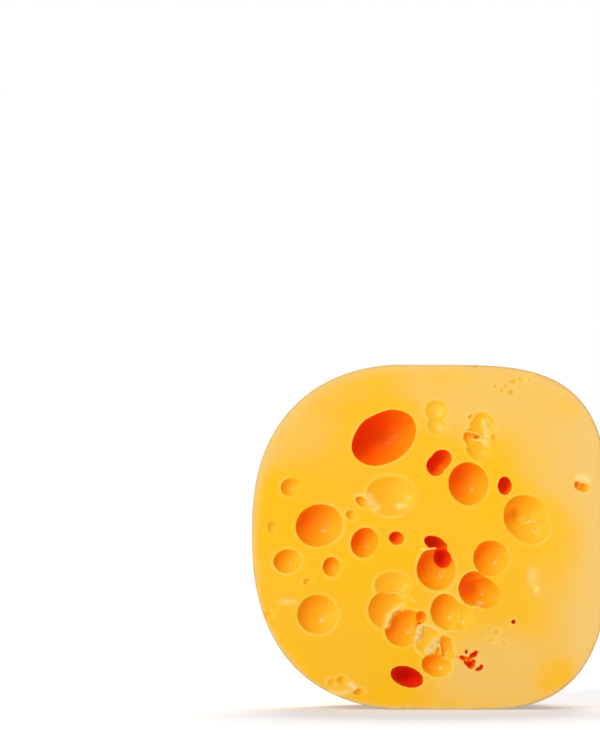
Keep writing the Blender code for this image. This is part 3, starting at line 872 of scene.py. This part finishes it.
def eye_values(places):
    """For each point the tone of its eye's wall, from 0 for yellow to 1 for deep red, which is painted
    shade: redder deeper down and on the wall's shaded side. Also how near it is to an eye's lip, from 0
    to 1, and how far from any eye's wall, in metres."""
    tone = np.zeros(len(places))
    lip = np.zeros(len(places))
    best = np.full(len(places), np.inf)
    for hollow in hollows:
        near, own, past = near_eye(hollow, places)
        across, into, up = own.T
        ball = eye_ball(hollow)
        middle = (0.0, hollow.swell * ball.half_sizes[1], 0.0)
        level = np.linalg.norm((own - middle) / ball.half_sizes, axis=1)
        miss = np.abs(level - 1) * max(hollow.half_width, hollow.half_height)
        down = np.clip(into / hollow.depth, 0, 1)
        # Painted shade: the side of the wall that faces away from the lamps is made redder.
        lit = (places[near] - np.array(hollow.face.translation)) @ np.array(LIT_FROM)
        shade_lean = PAINTED_SHADE_LEAN * min(hollow.tone / LEAN_TONE, 1.0) * (1 - hollow.tone**6)
        shade_lean = shade_lean * np.clip(LEAN_RATE * lit / max(hollow.half_width, hollow.half_height), -1, 1)
        # Redder further down: painted shade deep in the eye.
        shaded_wall = hollow.tone * (MOUTH_SHADE_SHARE + (1 - MOUTH_SHADE_SHARE) * down) + shade_lean
        closer = (miss < best[near]) & (into > -LIP_DEPTH)
        tone[near[closer]] = np.clip(shaded_wall[closer], 0, 1)
        best[near[closer]] = miss[closer]
        ring = np.exp(-(((past - LIP_OUT) / LIP_WIDTH) ** 2)) * (np.abs(into) < LIP_DEPTH)
        lip[near] = np.maximum(lip[near], ring)
    return tone, lip, best


def spot_share(spot, x, z):
    """How strong a soft spot is at each point."""
    level = ((x - spot.x) / spot.half_width) ** 2 + ((z - spot.z) / spot.half_height) ** 2
    return spot.share * np.exp(-level)


def painted_shade_values(places):
    """For each point how much painted shade it gets from the spots where an eye goes deepest."""
    x, y, z = places.T / MM
    dark = np.zeros(len(places))
    for spot in SHADE_SPOTS:
        dark = np.maximum(dark, spot_share(spot, x, z) * (y < FRONT_Y / MM + SPOT_REACH))
    return dark


def torn_and_glint_values(places):
    """For each point, from 0 to 1, how much it is torn pale cheese, with pale spots among which are a few
    painted highlights.
    """
    torn = np.zeros(len(places))
    for fin in FINS:
        for place in fin_line(fin):
            away = np.hypot(places[:, 0] - place.x * MM, places[:, 2] - place.y * MM) / (fin.half_width * MM)
            here = fin.pale * np.exp(-(away**2)) * (places[:, 1] < FRONT_Y + fin.depth * MM)
            torn = np.maximum(torn, here)
    x, y, z = places.T / MM
    for spot in PALE_SPOTS_AND_GLINTS:
        torn = np.maximum(torn, spot_share(spot, x, z) * (y < FRONT_Y / MM + SPOT_REACH))
    return torn


def smooth_step(value, low, high):
    share = np.clip((value - low) / (high - low), 0, 1)
    return share * share * (3 - 2 * share)


def paleness(places, off_outline, to_faces):
    """How far the paste has dried pale: towards the rim, in some broad patches and along the
    outline. Takes the points, and how far each lies inside the outline and the cut faces."""
    x, _, z = places.T / MM
    pale = smooth_step(x, *PALE_RIM)
    for patch in PALE_PATCHES + YELLOW_PATCHES:
        level = ((x - patch.x) / patch.half_width) ** 2 + ((z - patch.z) / patch.half_height) ** 2
        here = abs(patch.pale) * np.exp(-(level**2))
        pale = pale + here * (1 - pale) if patch.pale > 0 else pale * (1 - here)
    reach = np.interp(z, EDGE_HEIGHTS, EDGE_REACHES)
    edge = EDGE_PALE * smooth_step(off_outline / MM / reach, 1.0, 0.0)
    edge = edge * smooth_step(to_faces / MM, *EDGE_DEPTH)
    return pale + edge * (1 - pale)


def keep_weights(places):
    """Which points the thinning spares: those in and just around the front face's eyes and fins."""
    weight = torn_and_glint_values(places)
    for hollow in hollows[: len(FRONT_EYES)]:
        near, own, past = near_eye(hollow, places)
        spared = np.clip(1 - np.maximum(past, 0) / LIP_KEEP, 0, 1) * (own[:, 1] < hollow.depth + LIP_KEEP)
        weight[near] = np.maximum(weight[near], spared)
    return weight


def softened(obj):
    """The wedge as one even mesh with its edges worn round."""
    remesh(obj, VOXEL)
    soften = obj.modifiers.new("soften", "SMOOTH")
    soften.factor = SOFTENING
    soften.iterations = SOFTENING_PASSES
    return new_object("softened_wedge", baked_mesh(obj))


def thinned(obj):
    """The mesh with fewer triangles, most of them kept where there is most to see."""
    spared = obj.vertex_groups.new(name="spared")
    weights = np.round(keep_weights(points_of(obj.data)) * SPARED_STEPS)
    for level in range(1, SPARED_STEPS + 1):
        spared.add(np.flatnonzero(weights == level).tolist(), level / SPARED_STEPS, "REPLACE")
    thin = obj.modifiers.new("thin", "DECIMATE")
    thin.ratio = TRIANGLES / (2 * len(obj.data.polygons))
    thin.use_collapse_triangulate = True
    thin.vertex_group = spared.name
    thin.vertex_group_factor = SPARING
    thin.invert_vertex_group = True
    return baked_mesh(obj)


cut(wedge, "DIFFERENCE", eyes, "MANIFOLD")
cut(wedge, "UNION", fins, "MANIFOLD")
soft_wedge = softened(wedge)
waved_wedge = new_object("waved_wedge", grown(soft_wedge, surface_tree()))
cheese = new_object("holey_yellow_cheese", thinned(waved_wedge))
cheese.vertex_groups.clear()
for helper in (wedge, sector, trim, eyes, fins, soft_wedge, waved_wedge):
    bpy.data.objects.remove(helper)
places = np.clip(points_of(cheese.data), np.array(CHEESE_LOW), np.array(CHEESE_HIGH))
cheese.data.vertices.foreach_set("co", places.ravel())
wheel = wheel_gap(places)
off_outline = np.minimum(wheel, trim_gap(places))
to_faces = np.minimum(places[:, 1] - FRONT_Y, back_gap(places))
tone, lip, off_wall = eye_values(places)
below_faces = np.minimum(to_faces, off_outline)
for name, values in (
    ("wheel_mm", wheel / MM),
    ("outline_mm", off_outline / MM),
    ("hollow_mm", np.where(off_wall < WALL_REACH, below_faces, 0.0) / MM),
    ("tone", tone),
    ("lip", lip),
    ("dark", painted_shade_values(places)),
    ("torn", torn_and_glint_values(places)),
    ("pale", paleness(places, off_outline, to_faces)),
):
    set_attribute(cheese.data, name, values)
cheese.data.shade_smooth()
cheese.data.materials.clear()
cheese.data.materials.append(paste)
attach(cheese, "root")
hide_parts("cheese")

# Crumbs of the same paste, left in the torn places. They are scattered over the torn surface where it
# lies below the cut face, as small uneven balls of many sizes.
CRUMB_COLOR = linear(255, 217, 142)
CRUMB_SIZES = (0.12 * MM, 0.5 * MM)
CRUMBS_PER_AREA = 5.0e6
CRUMB_SEED = 3
CRUMB_SPOTS = 700.0
CRUMB_LIGHT_REACH = 0.1 * MM
CRUMB_TORN = (0.38, 0.75)
CRUMB_LOW = 0.3
CRUMB_LUMPS = 1.6
CRUMB_UNEVEN = 0.9


def crumb_material():
    material, shade = new_material("yellow_cheese_crumb")
    spots = shade.noise(CRUMB_SPOTS)
    shader = shade.node(
        "ShaderNodeBsdfPrincipled",
        {"subsurface_method": "RANDOM_WALK"},
        {
            "Base Color": shade.mix(spots, CRUMB_COLOR, LIP_YELLOW),
            "Roughness": 0.5,
            "Specular IOR Level": 0.2,
            "Subsurface Weight": 0.3,
            "Subsurface Radius": (1.0, 0.6, 0.3),
            "Subsurface Scale": CRUMB_LIGHT_REACH,
        },
    )
    shade.node("ShaderNodeOutputMaterial", None, {"Surface": shader})
    return material


def crumb_tree():
    """Scatters uneven balls over a surface, as densely as its own attribute says."""
    group, tree, given = geometry_tree(
        "crumbs",
        crumb_material(),
        Density=("NodeSocketFloat", CRUMBS_PER_AREA),
        Smallest=("NodeSocketFloat", CRUMB_SIZES[0]),
        Largest=("NodeSocketFloat", CRUMB_SIZES[1]),
        Lumps=("NodeSocketFloat", CRUMB_LUMPS),
        Unevenness=("NodeSocketFloat", CRUMB_UNEVEN),
        Seed=("NodeSocketInt", CRUMB_SEED),
    )
    crumbly = tree.node("GeometryNodeInputNamedAttribute", {"data_type": "FLOAT"}, {"Name": "crumbly"})
    points = tree.node(
        "GeometryNodeDistributePointsOnFaces",
        None,
        {"Mesh": given["Geometry"], "Density": crumbly * given["Density"], "Seed": given["Seed"]},
    )
    ball = tree.node("GeometryNodeMeshIcoSphere", None, {"Radius": 1.0, "Subdivisions": 3})
    lumps = tree.node("ShaderNodeTexNoise", None, {"Scale": given["Lumps"], "Detail": 1.0})
    normal = tree.node("GeometryNodeInputNormal")
    rise = (lumps - 0.5) * given["Unevenness"]
    offset = tree.node("ShaderNodeVectorMath", {"operation": "SCALE"}, {0: normal, "Scale": rise})
    crumb = tree.node("GeometryNodeSetPosition", None, {"Geometry": ball, "Offset": offset})
    size = tree.node(
        "FunctionNodeRandomValue",
        {"data_type": "FLOAT"},
        {2: given["Smallest"], 3: given["Largest"], "Seed": given["Seed"]},
        output=1,
    )
    turn = tree.node(
        "FunctionNodeRandomValue",
        {"data_type": "FLOAT_VECTOR"},
        {0: (0.0, 0.0, 0.0), 1: (math.tau, math.tau, math.tau), "Seed": given["Seed"]},
    )
    placed = tree.node(
        "GeometryNodeInstanceOnPoints",
        None,
        {"Points": points, "Instance": crumb, "Rotation": turn, "Scale": size},
    )
    end_tree(tree, given, placed)
    return group


def crumbliness(places):
    """How densely crumbs lie at each point: where it is torn, and below the cut face."""
    below = smooth_step(places[:, 1] - FRONT_Y, 0.0, CRUMB_LOW * MM)
    return smooth_step(torn_and_glint_values(places), *CRUMB_TORN) * below


ground = new_object("crumb_ground", cheese.data.copy())
set_attribute(ground.data, "crumbly", crumbliness(points_of(ground.data)))
crumbs = new_object("cheese_crumbs", grown(ground, crumb_tree()))
bpy.data.objects.remove(ground)
crumb_places = np.clip(points_of(crumbs.data), np.array(CHEESE_LOW), np.array(CHEESE_HIGH))
crumbs.data.vertices.foreach_set("co", crumb_places.ravel())
crumbs.data.shade_smooth()
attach(crumbs, "root")

# The studio: a white floor with a faint glow of its own, under a white surround that gives soft
# light from all round, with two lamps to the left of the camera and one up behind, which throws a
# soft shadow forwards. Only the lamps are mirrored in the cheese's moist walls.
FLOOR_SIZE = 8.0
FLOOR_DROP = 0.05 * MM
FLOOR_WHITE = (0.80, 0.72, 0.66, 1.0)
FLOOR_GLOW_COLOR = (0.65, 0.84, 1.0, 1.0)
FLOOR_GLOW = 0.33
SURROUND = 0.42
Lamp = namedtuple("Lamp", "name direction strength angle")
LAMPS = (
    Lamp("key", (-0.36, -0.79, 0.50), 1.15, 16),
    Lamp("left", (-0.60, -0.79, 0.10), 0.42, 14),
    Lamp("back", (0.02, 0.74, 0.67), 2.15, 35),
)


def sun(lamp):
    light = bpy.data.lights.new(lamp.name, "SUN")
    light.energy = lamp.strength
    light.angle = math.radians(lamp.angle)
    made = new_object(lamp.name, light)
    made.rotation_euler = Vector(lamp.direction).to_track_quat("Z", "Y").to_euler()


def white_floor():
    sheet = bmesh.new()
    bmesh.ops.create_grid(sheet, size=FLOOR_SIZE, matrix=Matrix.Translation((0, 0, -FLOOR_DROP)))
    floor = new_object("floor", bpy.data.meshes.new("floor"))
    sheet.to_mesh(floor.data)
    sheet.free()
    paint, shade = new_material("white_floor")
    values = {
        "Base Color": FLOOR_WHITE,
        "Roughness": 0.9,
        "Specular IOR Level": 0.1,
        "Emission Color": FLOOR_GLOW_COLOR,
        "Emission Strength": FLOOR_GLOW,
    }
    shader = shade.node("ShaderNodeBsdfPrincipled", None, values)
    shade.node("ShaderNodeOutputMaterial", None, {"Surface": shader})
    floor.data.materials.append(paint)
    floor.visible_glossy = False
    return floor


def white_surround():
    """A soft even light from all round, whose own face is seen as pure white."""
    world = bpy.data.worlds.new("surround")
    world.use_nodes = True
    world.node_tree.nodes.clear()
    shade = Shade(world.node_tree)
    seen = shade.node("ShaderNodeLightPath")
    strength = seen * (1 - SURROUND) + SURROUND
    light = shade.node("ShaderNodeBackground", None, {"Color": (1.0, 1.0, 1.0, 1.0), "Strength": strength})
    shade.node("ShaderNodeOutputWorld", None, {"Surface": light})
    world.cycles_visibility.glossy = False
    return world


white_floor()
bpy.context.scene.world = white_surround()
for lamp in LAMPS:
    sun(lamp)

# The camera stands level with the cheese, square to its front face, far enough off to keep the
# face free of perspective, and looks a little left of it and up.
IMAGE_HEIGHT = 738
MM_PER_PIXEL = 0.3483
CAMERA_DISTANCE = 2.5
CAMERA_HEIGHT = 0.085
AIM = Vector((-0.0452, FRONT_Y, 0.1185))
SENSOR = 36.0

camera_data = bpy.data.cameras.new("camera")
camera_data.sensor_width = camera_data.sensor_height = SENSOR
camera_data.sensor_fit = "VERTICAL"
camera = new_object("camera", camera_data)
camera.location = (0.0, FRONT_Y - CAMERA_DISTANCE, CAMERA_HEIGHT)
line_of_sight = AIM - camera.location
camera_data.lens = SENSOR * line_of_sight.length / (IMAGE_HEIGHT * MM_PER_PIXEL * MM)
camera.rotation_euler = line_of_sight.to_track_quat("-Z", "Y").to_euler()
bpy.context.scene.camera = camera
bpy.context.scene.view_settings.view_transform = "Standard"
